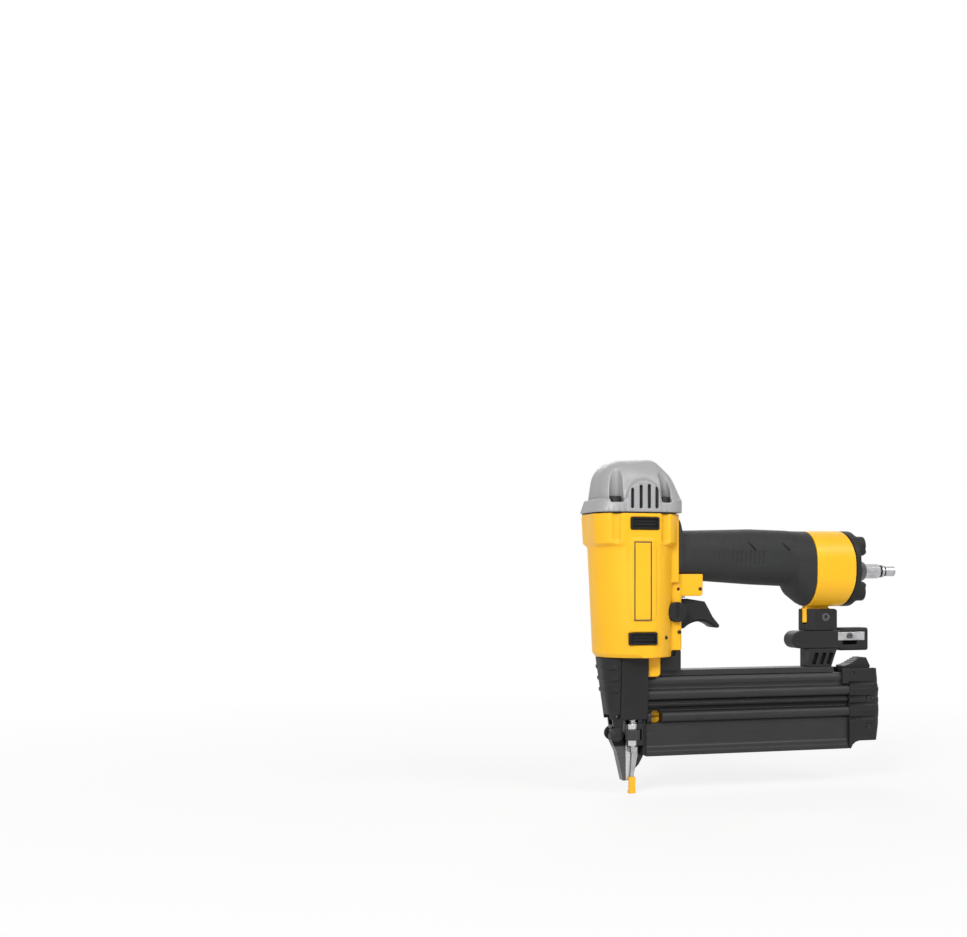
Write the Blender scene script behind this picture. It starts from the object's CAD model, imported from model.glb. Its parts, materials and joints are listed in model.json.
import json
import math

import bmesh
import bpy
from mathutils import Matrix, Vector

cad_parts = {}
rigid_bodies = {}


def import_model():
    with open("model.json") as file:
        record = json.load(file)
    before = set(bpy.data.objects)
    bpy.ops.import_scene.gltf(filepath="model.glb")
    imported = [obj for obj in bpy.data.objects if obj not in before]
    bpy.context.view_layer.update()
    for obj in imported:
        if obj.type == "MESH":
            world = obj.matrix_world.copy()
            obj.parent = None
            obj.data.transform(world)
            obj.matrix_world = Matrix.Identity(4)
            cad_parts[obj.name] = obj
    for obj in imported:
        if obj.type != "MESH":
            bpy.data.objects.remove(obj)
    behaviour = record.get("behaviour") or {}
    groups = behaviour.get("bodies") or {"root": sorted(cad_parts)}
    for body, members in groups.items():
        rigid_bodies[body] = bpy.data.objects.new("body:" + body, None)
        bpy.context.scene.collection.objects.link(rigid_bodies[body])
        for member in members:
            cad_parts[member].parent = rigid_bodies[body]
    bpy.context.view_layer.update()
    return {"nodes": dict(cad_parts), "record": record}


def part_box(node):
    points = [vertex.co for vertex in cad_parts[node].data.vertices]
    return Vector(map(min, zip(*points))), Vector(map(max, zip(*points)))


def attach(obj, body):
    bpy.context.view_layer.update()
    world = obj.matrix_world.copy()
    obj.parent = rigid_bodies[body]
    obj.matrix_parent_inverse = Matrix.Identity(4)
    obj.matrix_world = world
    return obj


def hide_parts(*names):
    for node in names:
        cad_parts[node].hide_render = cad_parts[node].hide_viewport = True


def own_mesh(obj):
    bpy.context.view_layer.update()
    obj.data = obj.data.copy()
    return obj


for left in list(bpy.data.objects):
    bpy.data.objects.remove(left)
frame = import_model()
nodes = frame["nodes"]
scene = bpy.context.scene
scene.view_settings.view_transform = "Standard"
MM = 0.001


# Camera: level, turned 17.2 degrees from square on, framed as in the photograph

PHOTO_WIDE, PHOTO_HIGH = 967, 937
SIGHT_X, SIGHT_Y = 580, 575
FOCAL_PIXELS = 1400
SENSOR = 36.0


def set_camera():
    data = bpy.data.cameras.new("camera")
    data.sensor_width = SENSOR
    data.lens = FOCAL_PIXELS * SENSOR / PHOTO_WIDE
    data.shift_x = (PHOTO_WIDE / 2 - SIGHT_X) / PHOTO_WIDE
    data.shift_y = (SIGHT_Y - PHOTO_HIGH / 2) / PHOTO_WIDE
    data.clip_start, data.clip_end = 0.05, 20.0
    camera = bpy.data.objects.new("camera", data)
    camera.location = (-0.3460, -0.9918, 0.16275)
    camera.rotation_euler = (math.radians(90), 0, math.radians(-17.2))
    scene.collection.objects.link(camera)
    scene.camera = camera


set_camera()


# Node helpers for the finishes

class Finish:
    """One procedural material on Object coordinates, built up step by step."""

    def __init__(self, name):
        self.material = bpy.data.materials.new(name)
        self.material.use_nodes = True
        self.tree = self.material.node_tree
        self.shader = self.tree.nodes["Principled BSDF"]
        self.place = self.add("ShaderNodeTexCoord").outputs["Object"]
        self.bumps = None

    def add(self, kind, **values):
        node = self.tree.nodes.new(kind)
        for key, value in values.items():
            setattr(node, key, value)
        return node

    def link(self, a, b):
        self.tree.links.new(a, b)

    def mapped(self, scale):
        node = self.add("ShaderNodeMapping")
        node.inputs["Scale"].default_value = scale
        self.link(self.place, node.inputs["Vector"])
        return node.outputs["Vector"]

    def noise(self, scale, detail=3.0, rough=0.5, vector=None):
        node = self.add("ShaderNodeTexNoise")
        node.inputs["Scale"].default_value = scale
        node.inputs["Detail"].default_value = detail
        node.inputs["Roughness"].default_value = rough
        self.link(vector or self.place, node.inputs["Vector"])
        return node.outputs["Fac"]

    def ramp(self, value, low, high, to_low=0.0, to_high=1.0):
        node = self.add("ShaderNodeMapRange")
        node.inputs["From Min"].default_value = low
        node.inputs["From Max"].default_value = high
        node.inputs["To Min"].default_value = to_low
        node.inputs["To Max"].default_value = to_high
        self.link(value, node.inputs["Value"])
        return node.outputs["Result"]

    def math(self, how, a, b):
        node = self.add("ShaderNodeMath", operation=how)
        for socket, value in zip(node.inputs, (a, b)):
            if isinstance(value, (int, float)):
                socket.default_value = value
            else:
                self.link(value, socket)
        return node.outputs[0]

    def blend(self, amount, a, b):
        node = self.add("ShaderNodeMix", data_type="RGBA")
        self.link(amount, node.inputs["Factor"])
        for socket, value in zip((node.inputs[6], node.inputs[7]), (a, b)):
            if isinstance(value, tuple):
                socket.default_value = (*value, 1.0)
            else:
                self.link(value, socket)
        return node.outputs[2]

    def axis(self, name):
        node = self.add("ShaderNodeSeparateXYZ")
        self.link(self.place, node.inputs[0])
        return node.outputs[name]

    def bump(self, height, depth, strength=1.0):
        node = self.add("ShaderNodeBump")
        node.inputs["Strength"].default_value = strength
        node.inputs["Distance"].default_value = depth
        self.link(height, node.inputs["Height"])
        if self.bumps:
            self.link(self.bumps, node.inputs["Normal"])
        self.bumps = node.outputs["Normal"]

    def rounded(self, radius):
        node = self.add("ShaderNodeBevel", samples=6)
        node.inputs["Radius"].default_value = radius
        if self.bumps:
            self.link(self.bumps, node.inputs["Normal"])
        self.bumps = node.outputs["Normal"]

    def edges(self, radius, low=0.02, high=0.25):
        soft = self.add("ShaderNodeBevel", samples=4)
        soft.inputs["Radius"].default_value = radius
        flat = self.add("ShaderNodeNewGeometry")
        dot = self.add("ShaderNodeVectorMath", operation="DOT_PRODUCT")
        self.link(soft.outputs["Normal"], dot.inputs[0])
        self.link(flat.outputs["Normal"], dot.inputs[1])
        return self.ramp(self.math("SUBTRACT", 1.0, dot.outputs["Value"]), low, high)

    def hollows(self, reach, low=0.35, high=0.95):
        node = self.add("ShaderNodeAmbientOcclusion", samples=6, only_local=True)
        node.inputs["Distance"].default_value = reach
        return self.ramp(node.outputs["AO"], low, high)

    def done(self, colour, roughness, metal=0.0, specular=0.5, **sockets):
        inputs = self.shader.inputs
        self.link(colour, inputs["Base Color"])
        self.link(roughness, inputs["Roughness"])
        inputs["Metallic"].default_value = metal
        inputs["Specular IOR Level"].default_value = specular
        for name, value in sockets.items():
            inputs[name.replace("_", " ")].default_value = value
        if self.bumps:
            self.link(self.bumps, inputs["Normal"])
        return self.material


# Finishes

def cast_paint(name, base, shade):
    """Satin paint over a casting: slow shade drift, orange peel and soft edges."""
    f = Finish(name)
    drift = f.ramp(f.noise(18, 4), 0.3, 0.7)
    speck = f.ramp(f.noise(2600, 2), 0.55, 0.8, 0.0, 0.35)
    even = f.blend(speck, f.blend(drift, base, shade), tuple(c * 0.82 for c in base))
    colour = f.blend(f.hollows(5 * MM), (0.62, 0.25, 0.008), even)
    rough = f.ramp(f.noise(160, 4), 0.25, 0.75, 0.34, 0.46)
    f.rounded(0.9 * MM)
    f.bump(f.noise(1500, 2), 0.05 * MM, 0.5)
    f.bump(f.noise(120, 2), 0.12 * MM, 0.35)
    return f.done(colour, rough, 0.0, 0.3, Coat_Weight=0.06, Coat_Roughness=0.3)


def cast_silver(name):
    """Silver grey paint with metal flake on a blasted casting."""
    f = Finish(name)
    flake = f.ramp(f.noise(4200, 1), 0.35, 0.7)
    drift = f.ramp(f.noise(30, 4), 0.3, 0.7)
    base = f.blend(drift, (0.36, 0.36, 0.365), (0.41, 0.41, 0.415))
    worn = f.edges(0.7 * MM)
    even = f.blend(worn, f.blend(flake, base, (0.33, 0.33, 0.335)), (0.52, 0.52, 0.52))
    colour = f.blend(f.hollows(7 * MM, 0.3, 0.9), (0.07, 0.07, 0.072), even)
    rough = f.ramp(f.noise(220, 4), 0.25, 0.75, 0.42, 0.54)
    f.rounded(0.8 * MM)
    f.bump(f.noise(1900, 3), 0.06 * MM, 0.6)
    return f.done(colour, rough, 0.15, 0.35)


def moulded(name, dark, light, grain=1700, depth=0.05, low=0.42, high=0.56,
            wear=(0.06, 0.06, 0.062), gloss=0.3):
    """Moulded plastic with a fine spark grain, rubbed paler on its edges."""
    f = Finish(name)
    drift = f.ramp(f.noise(35, 4), 0.3, 0.7)
    rub = f.math("MULTIPLY", f.edges(0.6 * MM), f.ramp(f.noise(240, 4), 0.3, 0.7, 0.25, 0.8))
    even = f.blend(rub, f.blend(drift, dark, light), wear)
    colour = f.blend(f.hollows(4 * MM), tuple(c * 0.4 for c in dark), even)
    rough = f.ramp(f.noise(420, 4), 0.25, 0.75, low, high)
    f.rounded(0.5 * MM)
    f.bump(f.noise(grain, 3, 0.6), depth * MM, 0.7)
    return f.done(colour, rough, 0.0, gloss)


def grip_rubber(name):
    """Soft grip: matt rubber with a fine grain and a little dust."""
    f = Finish(name)
    drift = f.ramp(f.noise(28, 4), 0.3, 0.7)
    dust = f.ramp(f.noise(900, 5, 0.65), 0.5, 0.8, 0.0, 0.6)
    base = f.blend(drift, (0.028, 0.0285, 0.0295), (0.036, 0.0365, 0.0375))
    colour = f.blend(dust, base, (0.048, 0.0485, 0.0495))
    rough = f.ramp(f.noise(300, 4), 0.25, 0.75, 0.56, 0.72)
    f.rounded(1.2 * MM)
    f.bump(f.noise(1300, 4, 0.6), 0.09 * MM, 0.7)
    return f.done(colour, rough, 0.0, 0.16, Sheen_Weight=0.03, Sheen_Roughness=0.5)


def drawn_black(name, grooves=None):
    """Black extrusion: drawing lines along X, rubbed edges, and soot in the grooves between two heights."""
    f = Finish(name)
    lines = f.noise(60, 4, 0.6, f.mapped((0.6, 26, 26)))
    drift = f.ramp(f.noise(24, 4), 0.3, 0.7)
    rub = f.math("MULTIPLY", f.edges(0.5 * MM), f.ramp(f.noise(200, 4), 0.35, 0.65, 0.2, 0.85))
    base = f.blend(drift, (0.026, 0.026, 0.0265), (0.033, 0.033, 0.034))
    lined = f.blend(f.ramp(lines, 0.35, 0.7, 0.0, 0.5), base, (0.042, 0.042, 0.043))
    even = f.blend(rub, lined, (0.085, 0.085, 0.087))
    soot = (0.002, 0.002, 0.002)
    colour = f.blend(f.hollows(4 * MM, 0.5, 0.97), soot, even)
    if grooves:
        low, high = grooves
        deep = f.ramp(f.math("ABSOLUTE", f.axis("Y"), 0), 10.0 * MM, 12.2 * MM, 1.0, 0.0)
        above = f.ramp(f.axis("Z"), low, low + 1 * MM)
        under = f.ramp(f.axis("Z"), high - 1 * MM, high, 1.0, 0.0)
        colour = f.blend(f.math("MULTIPLY", deep, f.math("MULTIPLY", above, under)), colour, soot)
    rough = f.ramp(lines, 0.25, 0.75, 0.36, 0.46)
    f.rounded(0.4 * MM)
    f.bump(lines, 0.04 * MM, 0.5)
    return f.done(colour, rough, 0.0, 0.2)


def steel(name, base, dark, low=0.22, high=0.36, along=(1, 1, 24), metal=1.0):
    """Ground steel with fine scratches and a few dull spots."""
    f = Finish(name)
    lines = f.noise(140, 5, 0.6, f.mapped(along))
    spots = f.ramp(f.noise(180, 4), 0.45, 0.75)
    even = f.blend(spots, f.blend(f.ramp(lines, 0.3, 0.7), base, dark), tuple(c * 0.75 for c in dark))
    colour = f.blend(f.hollows(3 * MM), tuple(c * 0.25 for c in dark), even)
    rough = f.ramp(lines, 0.25, 0.75, low, high)
    f.rounded(0.3 * MM)
    f.bump(lines, 0.02 * MM, 0.4)
    return f.done(colour, rough, metal, 0.5)


def two_tone_steel(name, x_edge, z_edge, pale=(0.7, 0.7, 0.71), dull=(0.56, 0.56, 0.57), black=0.05):
    """Steel ground bright below a place on X and on Z, and blackened past either."""
    f = Finish(name)
    soft = 1.2 * MM
    lines = f.noise(150, 5, 0.6, f.mapped((1, 1, 24)))
    past_x = f.math("SUBTRACT", f.axis("X"), x_edge)
    past_z = f.math("SUBTRACT", f.axis("Z"), z_edge)
    ragged = f.math("MULTIPLY", f.noise(300, 4), soft)
    part = f.ramp(f.math("ADD", f.math("MAXIMUM", past_x, past_z), ragged), 0.0, soft)
    worn = f.ramp(lines, 0.3, 0.7)
    bright = f.blend(worn, pale, dull)
    dark = f.blend(worn, (black, black, black * 1.04), (black * 0.6, black * 0.6, black * 0.64))
    colour = f.blend(part, bright, dark)
    rough = f.ramp(lines, 0.25, 0.75, 0.24, 0.4)
    f.rounded(0.3 * MM)
    f.bump(lines, 0.02 * MM, 0.4)
    return f.done(colour, rough, 0.9, 0.5)


FINISHES = {
    "yellow_paint": cast_paint("yellow_paint", (0.96, 0.52, 0.016), (0.93, 0.47, 0.012)),
    "cap_grey": cast_silver("cap_grey"),
    "black_nylon": moulded("black_nylon", (0.019, 0.019, 0.0195), (0.025, 0.025, 0.0255), gloss=0.16),
    "black_rubber": moulded("black_rubber", (0.011, 0.011, 0.0115), (0.015, 0.015, 0.0155),
                            1200, 0.07, 0.5, 0.64, (0.03, 0.03, 0.03), 0.18),
    "grip_rubber": grip_rubber("grip_rubber"),
    "black_steel": steel("black_steel", (0.026, 0.026, 0.027), (0.017, 0.017, 0.018),
                         0.3, 0.46, (1, 1, 1), 0.3),
    "bright_steel": steel("bright_steel", (0.58, 0.58, 0.59), (0.44, 0.44, 0.45)),
    "dark_steel": steel("dark_steel", (0.13, 0.13, 0.135), (0.08, 0.08, 0.085),
                        0.28, 0.44, (1, 1, 1), 0.8),
    "spring_steel": steel("spring_steel", (0.5, 0.5, 0.51), (0.4, 0.4, 0.41), 0.24, 0.38, (1, 1, 6)),
    "aluminium": steel("aluminium", (0.72, 0.72, 0.74), (0.62, 0.62, 0.64), 0.24, 0.38, (1, 1, 20)),
    "black_magazine": drawn_black("black_magazine"),
    "brass": steel("brass", (0.68, 0.48, 0.2), (0.55, 0.38, 0.15), 0.24, 0.38, (1, 1, 12)),
    "yellow_plastic": moulded("yellow_plastic", (0.95, 0.5, 0.016), (0.9, 0.45, 0.012),
                              1500, 0.04, 0.38, 0.5, (0.97, 0.6, 0.08), 0.45),
    "grey_plastic": moulded("grey_plastic", (0.04, 0.04, 0.042), (0.055, 0.055, 0.057),
                            wear=(0.12, 0.12, 0.12)),
}
SLOTS = {part["node"]: part["material_slot"] for part in frame["record"]["subparts"]}
OWN_FINISH = {
    "nose_guide": two_tone_steel("guide_steel", -0.4 * MM, 36 * MM),
    "nose_door": two_tone_steel("door_steel", 1.0, 35 * MM, (0.13, 0.13, 0.135), (0.085, 0.085, 0.09), 0.016),
    "contact_link": two_tone_steel("link_steel", 0.4 * MM, 60 * MM),
    "magazine_channel": drawn_black("channel_black", (51.5 * MM, 77 * MM)),
    "tail_screws": FINISHES["black_steel"],
    "door_pin": FINISHES["black_steel"],
    "tail_pin": FINISHES["black_steel"],
    "bracket_screw": FINISHES["dark_steel"],
}
for name, slot in SLOTS.items():
    node = nodes[name]
    node.data.materials.clear()
    node.data.materials.append(OWN_FINISH.get(name, FINISHES[slot]))
BODIES = frame["record"]["behaviour"]["bodies"]
BODY_OF = {node: body for body, members in BODIES.items() for node in members}


# Making and placing pieces

def add_piece(bm, name, body, slot, stands_for=(), finish=None, sharp=32):
    """Turns a bmesh into a finished piece that rides on a body."""
    bmesh.ops.remove_doubles(bm, verts=bm.verts, dist=0.002 * MM)
    mesh = bpy.data.meshes.new(name)
    bm.to_mesh(mesh)
    bm.free()
    mesh.materials.append(finish or FINISHES[slot])
    mesh.shade_smooth()
    mesh.set_sharp_from_angle(angle=math.radians(sharp))
    piece = bpy.data.objects.new(name, mesh)
    scene.collection.objects.link(piece)
    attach(piece, body)
    for node in stands_for:
        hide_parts(node)
    return piece


def soft_casting(node, name, grain, rounds, share):
    """The solid's own shape cast over: one even skin with its edges and facets eased."""
    bm = bmesh.new()
    bm.from_mesh(nodes[node].data)
    piece = add_piece(bm, name, BODY_OF[node], SLOTS[node], [node], OWN_FINISH.get(node), 60)
    skin = piece.modifiers.new("skin", "REMESH")
    skin.mode, skin.voxel_size = "VOXEL", grain
    ease = piece.modifiers.new("ease", "SMOOTH")
    ease.factor, ease.iterations = 0.5, rounds
    if share < 1:
        thin = piece.modifiers.new("thin", "DECIMATE")
        thin.ratio = share
    graph = bpy.context.evaluated_depsgraph_get()
    cast = bpy.data.meshes.new_from_object(piece.evaluated_get(graph))
    piece.modifiers.clear()
    piece.data = cast
    cast.shade_smooth()
    return piece


def round_edges(bm, edges, width, segments):
    bmesh.ops.bevel(bm, geom=list(dict.fromkeys(edges)), offset=width, offset_type="OFFSET", segments=segments,
                    profile=0.5, affect="EDGES", material=-1, clamp_overlap=True)


def soft_block(bm, centre, size, edge):
    """A block with all its edges rounded; its measures are in millimetres."""
    spot = Matrix.LocRotScale(Vector(centre) * MM, None, Vector(size) * MM)
    made = bmesh.ops.create_cube(bm, size=1.0, matrix=spot)
    round_edges(bm, [e for v in made["verts"] for e in v.link_edges], edge * MM, 2)


def eased(share):
    """A share kept between 0 and 1, slow at both ends."""
    share = min(max(share, 0), 1)
    return share * share * (3 - 2 * share)


# Castings and mouldings: grain of the skin in millimetres, rounds of easing, share of the faces kept

SKINS = {}
for node, name, grain, rounds, share in (
    ("body_housing", "cast_body", 0.6, 5, 0.3),
    ("cylinder_cap", "cap_casting", 0.55, 6, 1),
    ("grip_sleeve", "rubber_grip", 0.5, 2, 0.6),
    ("end_cap", "end_moulding", 0.4, 5, 1),
    ("nose_boot", "boot_moulding", 0.45, 5, 1),
    ("jam_latch", "latch_moulding", 0.4, 4, 1),
    ("magazine_channel", "magazine_body", 0.6, 4, 0.4),
    ("magazine_tail", "tail_moulding", 0.45, 4, 1),
    ("magazine_latch", "thumb_latch", 0.35, 4, 1),
    ("belt_hook", "hook_moulding", 0.35, 4, 1),
    ("rear_bracket", "bracket_moulding", 0.35, 3, 1),
    ("magazine_foot", "foot_moulding", 0.3, 2, 1),
    ("rail_block", "block_moulding", 0.4, 5, 1),
    ("trigger", "trigger_moulding", 0.4, 5, 1),
    ("mode_selector", "selector_knob", 0.3, 4, 1),
):
    SKINS[name] = soft_casting(node, name, grain * MM, rounds, share)


# Grooves beside the two ribs of the magazine's end piece, which run out towards the back

def groove_tail(piece):
    start, end, flank = 177.0 * MM, 199.6 * MM, 9 * MM
    rib_edge, wide, deep, run_out = 4.0 * MM, 2.8 * MM, 1.9 * MM, 0.75
    for vert in piece.data.vertices:
        x, y, z = vert.co
        if x < start - 1 * MM or abs(y) < flank:
            continue
        for rib_z in (73.2 * MM, 56.7 * MM):
            off = abs(z - rib_z) - rib_edge
            if 0 < off < wide:
                fade = 1 - run_out * min(max((x - start) / (end - start), 0), 1)
                vert.co.y -= math.copysign(deep * fade * math.sin(math.pi * off / wide), y)


groove_tail(SKINS["tail_moulding"])


# Handle end: the seam behind the ring bows back on the flanks,
# and the cap's plate lies low between its bolt posts and the plug's boss

END_LOW, END_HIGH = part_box("end_cap")
END_Z = (END_LOW.z + END_HIGH.z) / 2


def bow_seam(piece, start, end):
    """Shifts the seam's edge along X, all of it at end and nothing of it at start."""
    half, at_mid, bow = (END_HIGH.z - END_LOW.z) / 2, 1.0 * MM, 3.8 * MM
    for vert in piece.data.vertices:
        off = (vert.co.z - END_Z) / half
        if abs(off) < 1.03:
            vert.co.x += (at_mid - bow * off * off) * eased((vert.co.x - start) / (end - start))


def sink_plate(piece):
    plate, blend, sunk = END_LOW.x + 4.5 * MM, 1.8 * MM, 0.88
    posts = [(s * 12 * MM, t * 18 * MM, 7.5 * MM) for s in (-1, 1) for t in (-1, 1)]
    posts.append((0, -2 * MM, 10 * MM))
    for vert in piece.data.vertices:
        x, y, z = vert.co
        if x > plate:
            clear = min(math.hypot(y - at_y, z - END_Z - at_z) - r for at_y, at_z, r in posts)
            vert.co.x -= sunk * (x - plate) * eased(clear / blend)


sink_plate(SKINS["end_moulding"])
bow_seam(SKINS["end_moulding"], 181.3 * MM, 176.8 * MM)
bow_seam(SKINS["cast_body"], 154 * MM, 176 * MM)


# Foot of the rear bracket: slots cut deeper

def deepen_slots(piece):
    low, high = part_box("magazine_foot")
    mid_x, reach = (low.x + high.x) / 2, 10.5 * MM
    floor, near, more = high.y - 1.8 * MM, 0.45 * MM, 1.6 * MM
    for vert in piece.data.vertices:
        if abs(abs(vert.co.y) - floor) < near and abs(vert.co.x - mid_x) < reach:
            vert.co.y -= math.copysign(more, vert.co.y)


deepen_slots(SKINS["foot_moulding"])


# Springs: wound wire with closed end turns

UPRIGHT = Matrix.Rotation(math.radians(90), 4, "X")


def wound_spring(node, name, wire, turns):
    """Wire wound round Z between the ends of the spring's solid, which gives with its joint."""
    low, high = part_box(node)
    mid = (low + high) / 2
    coil = (high.x - low.x) / 2 - wire
    length = high.z - low.z
    steps = 28
    bm = bmesh.new()
    start = Matrix.Translation((mid.x + coil, mid.y, low.z + wire)) @ UPRIGHT
    bmesh.ops.create_circle(bm, cap_ends=False, segments=10, radius=wire, matrix=start)
    last = bm.verts[:] + bm.edges[:]
    end_climb = 2.06 * wire
    free_climb = (length - 2 * wire - 2 * end_climb) / turns
    for count, climb in ((1, end_climb), (turns, free_climb), (1, end_climb)):
        made = bmesh.ops.spin(bm, geom=last, cent=(mid.x, mid.y, 0), axis=(0, 0, 1),
                              dvec=(0, 0, climb / steps), angle=math.tau * count, steps=steps * count,
                              use_merge=False)
        last = made["geom_last"]
    bmesh.ops.holes_fill(bm, edges=[e for e in bm.edges if e.is_boundary], sides=0)
    bmesh.ops.recalc_face_normals(bm, faces=bm.faces)
    piece = add_piece(bm, name, BODY_OF[node], SLOTS[node], [node], sharp=50)
    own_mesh(piece)


wound_spring("head_valve_spring", "head_spring_wire", 0.6 * MM, 5)
wound_spring("valve_spring", "stem_spring_wire", 0.4 * MM, 4)
wound_spring("contact_spring", "contact_spring_wire", 0.4 * MM, 8)
wound_spring("tail_spring", "latch_spring_wire", 0.4 * MM, 3)


# Side pads: a rim, a sunken field and ribs across it

def side_pads():
    low, high = (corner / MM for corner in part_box("side_pads"))
    bm = bmesh.new()
    for side in (-1, 1):
        face = side * high.y
        for x, z in ((0.0, low.z + 4.4), (1.4, high.z - 4.4)):
            soft_block(bm, (x, face - side * 2.1, z), (21.8, 2.0, 8.8), 0.4)
            for dx in (-10.15, 10.15):
                soft_block(bm, (x + dx, face - side * 0.8, z), (1.5, 1.6, 8.8), 0.4)
            for dz in (-3.75, 3.75):
                soft_block(bm, (x, face - side * 0.8, z + dz), (20.4, 1.6, 1.3), 0.4)
            for dz in (-1.25, 1.25):
                soft_block(bm, (x, face - side * 1.0, z + dz), (18.4, 1.0, 1.2), 0.35)
    add_piece(bm, "ribbed_pads", "tool_body", SLOTS["side_pads"], ["side_pads"])


side_pads()


# Hinge covers of the nose door: a stepped disc with a slot, on the outer face of each ear

def round_step(bm, centre, side, radius, rise, edge):
    """A disc across Y with a rounded rim, in millimetres; its foot is at centre and it rises outwards."""
    middle = (Vector(centre) + Vector((0, side * rise / 2, 0))) * MM
    made = bmesh.ops.create_cone(bm, cap_ends=True, segments=40, radius1=radius * MM, radius2=radius * MM,
                                 depth=rise * MM, matrix=Matrix.Translation(middle) @ UPRIGHT)
    edges = [e for v in made["verts"] for e in v.link_edges]
    rims = [e for e in edges if len({round(v.co.y, 7) for v in e.verts}) == 1]
    round_edges(bm, rims, edge * MM, 3)


def hinge_covers():
    ear, x, z = 6.4, -12.6, 44.4
    bm = bmesh.new()
    for side in (-1, 1):
        round_step(bm, (x, side * (ear - 0.1), z), side, 5.4, 1.3, 0.4)
        round_step(bm, (x, side * (ear + 0.9), z), side, 3.9, 0.8, 0.25)
        for dx in (-1.45, 1.45):
            soft_block(bm, (x + dx, side * (ear + 1.7), z), (2.0, 0.7, 3.6), 0.25)
    add_piece(bm, "hinge_covers", "tool_body", "black_steel")


hinge_covers()


# Metal collar on the tapered boss of the air plug

def plug_collar():
    low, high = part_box("air_plug")
    axis_z = (low.z + high.z) / 2
    bm = bmesh.new()
    outline = ((189.4, 9.0), (189.4, 9.6), (194.4, 7.45), (195.1, 6.8), (195.1, 5.3), (194.0, 5.3))
    points = [bm.verts.new((x * MM, 0, axis_z + r * MM)) for x, r in outline]
    edges = [bm.edges.new(pair) for pair in zip(points, points[1:])]
    bmesh.ops.spin(bm, geom=points + edges, cent=(0, 0, axis_z), axis=(1, 0, 0), angle=math.tau,
                   steps=48, use_merge=True)
    bmesh.ops.remove_doubles(bm, verts=bm.verts, dist=0.002 * MM)
    bmesh.ops.recalc_face_normals(bm, faces=bm.faces)
    add_piece(bm, "plug_collar", "tool_body", "dark_steel")


plug_collar()


# Label places: a thin rim round a bare field on each flank

def label_rims():
    x, face, z = -0.3 * MM, 30.5 * MM, 158.3 * MM
    wide, tall, rim, lift = 13.5 * MM, 57.8 * MM, 0.8 * MM, 0.35 * MM
    bm = bmesh.new()
    for side in (-1, 1):
        spot = Matrix.LocRotScale(Vector((x, side * face, z)), UPRIGHT.to_quaternion(), Vector((wide, tall, 1)))
        made = bmesh.ops.create_grid(bm, x_segments=1, y_segments=1, size=0.5, matrix=spot)
        field = list({f for v in made["verts"] for f in v.link_faces})
        border = bmesh.ops.inset_region(bm, faces=field, thickness=rim, use_boundary=True,
                                        use_even_offset=True)["faces"]
        bmesh.ops.delete(bm, geom=field, context="FACES")
        grown = bmesh.ops.extrude_face_region(bm, geom=border)["geom"]
        top = [v for v in grown if isinstance(v, bmesh.types.BMVert)]
        bmesh.ops.translate(bm, verts=top, vec=(0, side * lift, 0))
    bmesh.ops.remove_doubles(bm, verts=bm.verts, dist=0.002 * MM)
    bmesh.ops.recalc_face_normals(bm, faces=bm.faces)
    add_piece(bm, "label_rims", "tool_body", "grey_plastic")


label_rims()


# Floor and light

def seen_outright(tree):
    """1 for rays from the camera, off gloss and through glass, 0 for rays that light the object."""
    path = tree.nodes.new("ShaderNodeLightPath")
    seen = path.outputs["Is Camera Ray"]
    for ray in ("Is Glossy Ray", "Is Transmission Ray"):
        either = tree.nodes.new("ShaderNodeMath")
        either.operation = "MAXIMUM"
        tree.links.new(seen, either.inputs[0])
        tree.links.new(path.outputs[ray], either.inputs[1])
        seen = either.outputs[0]
    return seen


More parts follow.
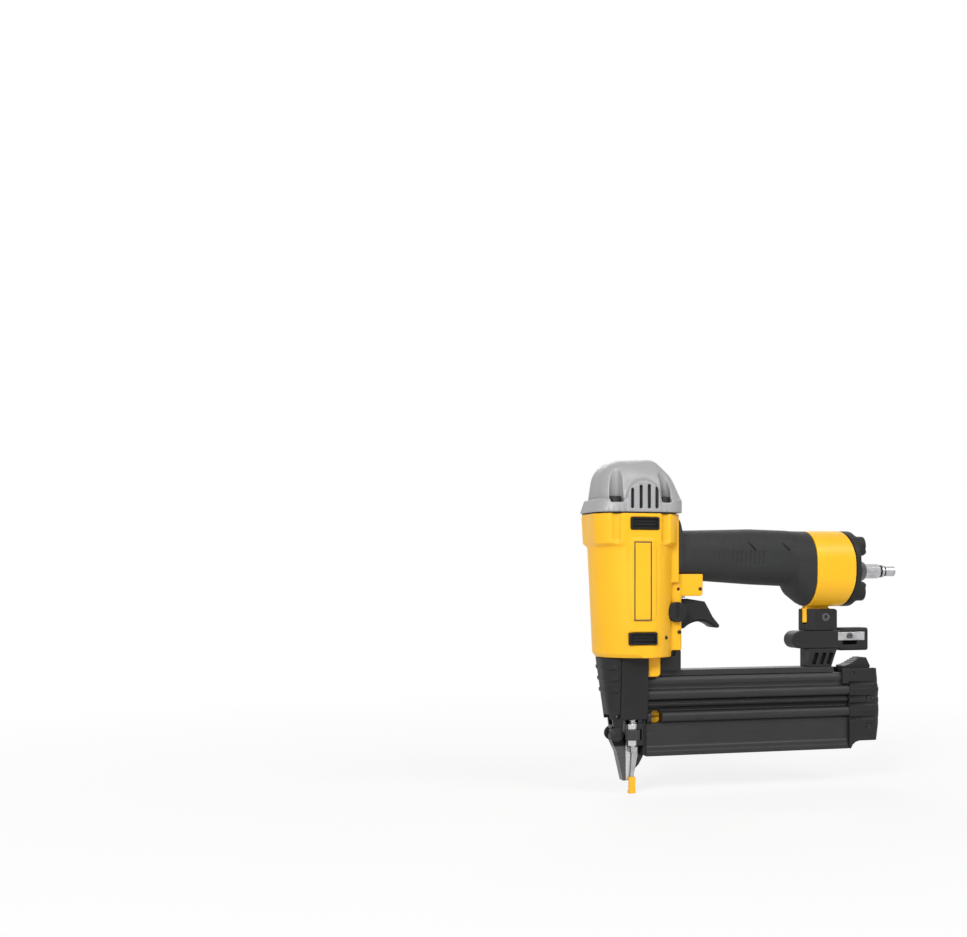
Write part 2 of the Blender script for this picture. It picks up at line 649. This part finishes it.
def white_floor():
    """Chalk floor that keeps the shadow near the object and fades to white away from it."""
    material = bpy.data.materials.new("pale_floor")
    material.use_nodes = True
    tree = material.node_tree
    tree.nodes.clear()
    link = tree.links.new
    out = tree.nodes.new("ShaderNodeOutputMaterial")
    chalk = tree.nodes.new("ShaderNodeBsdfDiffuse")
    chalk.inputs["Color"].default_value = (0.85, 0.85, 0.85, 1)
    white = tree.nodes.new("ShaderNodeEmission")
    white.inputs["Strength"].default_value = 1.0
    place = tree.nodes.new("ShaderNodeTexCoord")
    reach = tree.nodes.new("ShaderNodeVectorMath")
    reach.operation = "LENGTH"
    link(place.outputs["Object"], reach.inputs[0])
    fade = tree.nodes.new("ShaderNodeMapRange")
    for key, value in (("From Min", 0.25), ("From Max", 0.9), ("To Min", 0.8), ("To Max", 1.0)):
        fade.inputs[key].default_value = value
    link(reach.outputs["Value"], fade.inputs["Value"])
    share = tree.nodes.new("ShaderNodeMath")
    share.operation = "MULTIPLY"
    link(seen_outright(tree), share.inputs[0])
    link(fade.outputs["Result"], share.inputs[1])
    mix = tree.nodes.new("ShaderNodeMixShader")
    link(share.outputs[0], mix.inputs[0])
    link(chalk.outputs[0], mix.inputs[1])
    link(white.outputs[0], mix.inputs[2])
    link(mix.outputs[0], out.inputs["Surface"])
    bm = bmesh.new()
    under = Matrix.Translation((0, 0, -0.4 * MM))
    bmesh.ops.create_grid(bm, x_segments=1, y_segments=1, size=6.0, matrix=under)
    mesh = bpy.data.meshes.new("floor")
    bm.to_mesh(mesh)
    bm.free()
    mesh.materials.append(material)
    floor = bpy.data.objects.new("floor", mesh)
    scene.collection.objects.link(floor)


def white_world(level):
    """A world that looks white and lights the object at a lower level."""
    world = bpy.data.worlds.new("studio")
    scene.world = world
    world.use_nodes = True
    tree = world.node_tree
    tree.nodes.clear()
    out = tree.nodes.new("ShaderNodeOutputWorld")
    back = tree.nodes.new("ShaderNodeBackground")
    back.inputs["Color"].default_value = (1, 1, 1, 1)
    span = tree.nodes.new("ShaderNodeMapRange")
    span.inputs["To Min"].default_value = level
    span.inputs["To Max"].default_value = 1.0
    tree.links.new(seen_outright(tree), span.inputs["Value"])
    tree.links.new(span.outputs["Result"], back.inputs["Strength"])
    tree.links.new(back.outputs[0], out.inputs["Surface"])


OBJECT_MIDDLE = Vector((0.05, 0, 0.14))


def soft_box(name, place, size, watts):
    data = bpy.data.lights.new(name, "AREA")
    data.shape = "RECTANGLE"
    data.size, data.size_y = size
    data.energy = watts
    lamp = bpy.data.objects.new(name, data)
    lamp.location = place
    lamp.rotation_euler = (OBJECT_MIDDLE - Vector(place)).to_track_quat("-Z", "Y").to_euler()
    scene.collection.objects.link(lamp)


white_floor()
white_world(0.3)
soft_box("key_lamp", (-1.35, -1.75, 1.25), (0.7, 0.7), 38)
soft_box("side_lamp", (1.0, -1.5, 1.7), (1.2, 0.6), 20)
soft_box("rear_lamp", (0.4, 1.7, 1.3), (1.2, 0.8), 14)
